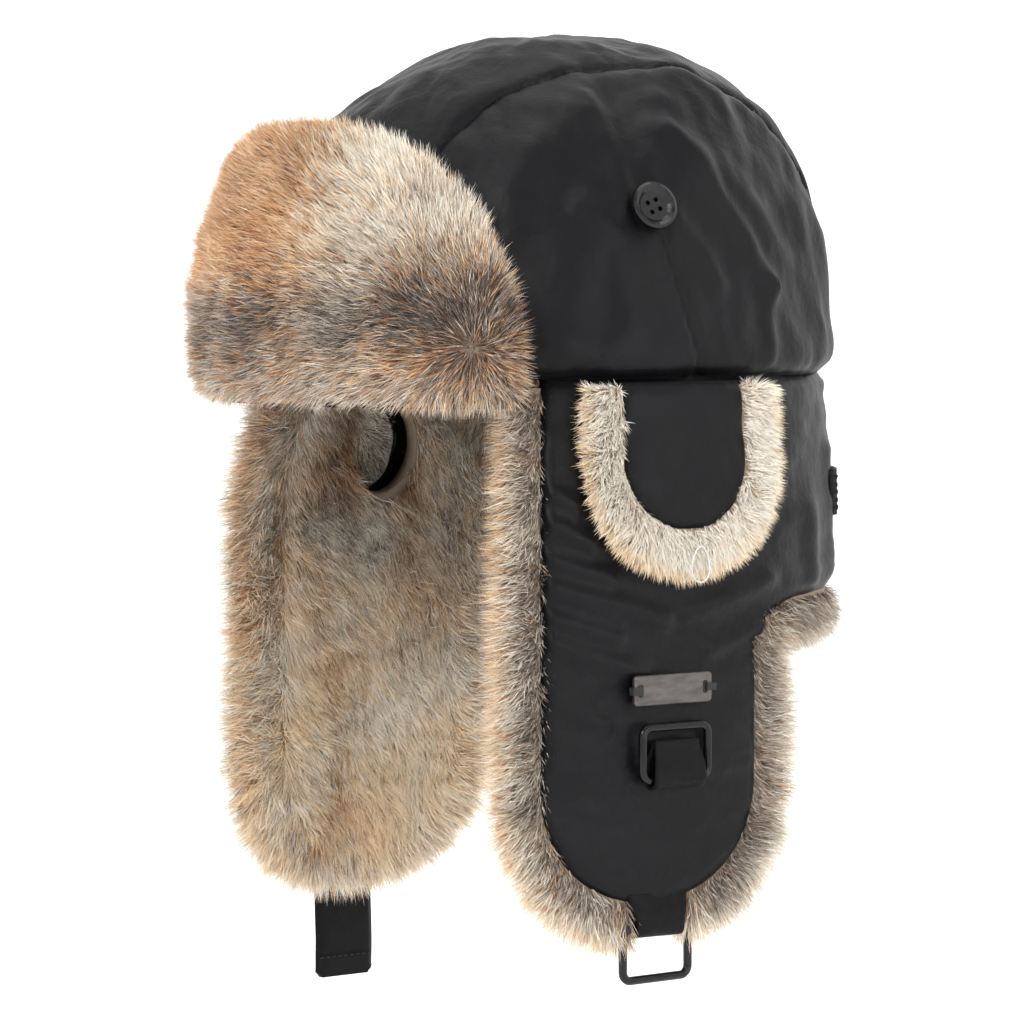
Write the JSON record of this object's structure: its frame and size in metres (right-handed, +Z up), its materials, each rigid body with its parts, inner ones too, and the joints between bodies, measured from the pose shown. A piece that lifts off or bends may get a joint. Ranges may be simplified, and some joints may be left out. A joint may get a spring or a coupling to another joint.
{
  "type": "trapper hat",
  "caption": "Padded cloth trapper hat with a fur visor, fur-lined folding ear flaps, lifting ear covers, a chin strap and buckle rings.",
  "frame": {"origin": "centre of the head opening, level with the seam between crown and band", "axes": "+Z up through the crown, -Y the way the face looks, +X the wearer's left"},
  "size_m": [0.2268, 0.2537, 0.3683],
  "materials": {
    "shell": "satin",
    "padding": "matte",
    "fur": "matte",
    "lining": "satin",
    "webbing": "matte",
    "button": "gloss",
    "thread": "matte",
    "pale_thread": "matte",
    "ring": "gloss",
    "name_plate": "brushed"
  },
  "bodies": {
    "hat": {"adjuster_strap": "webbing", "adjuster_tape": "webbing", "band_fur_left": "fur", "band_fur_right": "fur", "band_padding_left": "padding", "band_padding_right": "padding", "band_shell_left": "shell", "band_shell_right": "shell", "button_left": "button", "button_right": "button", "button_shank_left": "thread", "button_shank_right": "thread", "crown_lining": "lining", "crown_padding": "padding", "crown_side_panel_left": "shell", "crown_side_panel_right": "shell", "crown_top_panel": "shell", "sweatband": "lining"},
    "visor": {"visor_fur": "fur", "visor_padding": "padding", "visor_shell": "shell"},
    "ear_cover_left": {"ear_cover_fur_left": "fur", "ear_cover_loop_left": "pale_thread", "ear_cover_shell_left": "shell"},
    "ear_cover_right": {"ear_cover_fur_right": "fur", "ear_cover_loop_right": "pale_thread", "ear_cover_shell_right": "shell"},
    "flap_left": {"flap_fur_left": "fur", "flap_padding_left": "padding", "flap_shell_left": "shell", "name_plate": "name_plate", "plate_stitch_front": "thread", "plate_stitch_rear": "thread", "middle_tab": "webbing", "tip_tab": "webbing"},
    "flap_right": {"flap_fur_right": "fur", "flap_padding_right": "padding", "flap_shell_right": "shell"},
    "middle_ring": {"middle_ring": "ring"},
    "tip_ring": {"tip_ring": "ring"},
    "strap": {"chin_strap": "webbing", "hook_tape": "webbing", "loop_tape": "webbing"}
  },
  "joints": [
    {"name": "left_flap_fold", "type": "hinge", "parent": "hat", "child": "flap_left", "pos_m": [0.1036, -0.025, -0.088], "axis": [0, -1, 0], "range_deg": [0, 140]},
    {"name": "right_flap_fold", "type": "hinge", "parent": "hat", "child": "flap_right", "pos_m": [-0.1036, -0.025, -0.088], "axis": [0, 1, 0], "range_deg": [0, 140]},
    {"name": "visor_fold", "type": "hinge", "parent": "hat", "child": "visor", "pos_m": [0, -0.1185, -0.008], "axis": [1, 0, 0], "range_deg": [0, 80]},
    {"name": "left_ear_cover_lift", "type": "hinge", "parent": "hat", "child": "ear_cover_left", "pos_m": [0.1096, -0.012, -0.0015], "axis": [0, -1, 0], "range_deg": [0, 170]},
    {"name": "right_ear_cover_lift", "type": "hinge", "parent": "hat", "child": "ear_cover_right", "pos_m": [-0.1096, -0.012, -0.0015], "axis": [0, 1, 0], "range_deg": [0, 170]},
    {"name": "middle_ring_swing", "type": "hinge", "parent": "flap_left", "child": "middle_ring", "pos_m": [0.10638, -0.0185, -0.143], "axis": [0, 1, 0], "range_deg": [0, 170]},
    {"name": "tip_ring_swing", "type": "hinge", "parent": "flap_left", "child": "tip_ring", "pos_m": [0.0995, -0.022, -0.197], "axis": [0, -1, 0], "range_deg": [-60, 70]},
    {"name": "strap_swing", "type": "hinge", "parent": "flap_right", "child": "strap", "pos_m": [-0.0995, -0.022, -0.18964], "axis": [0, 1, 0], "range_deg": [-60, 70]}
  ]
}
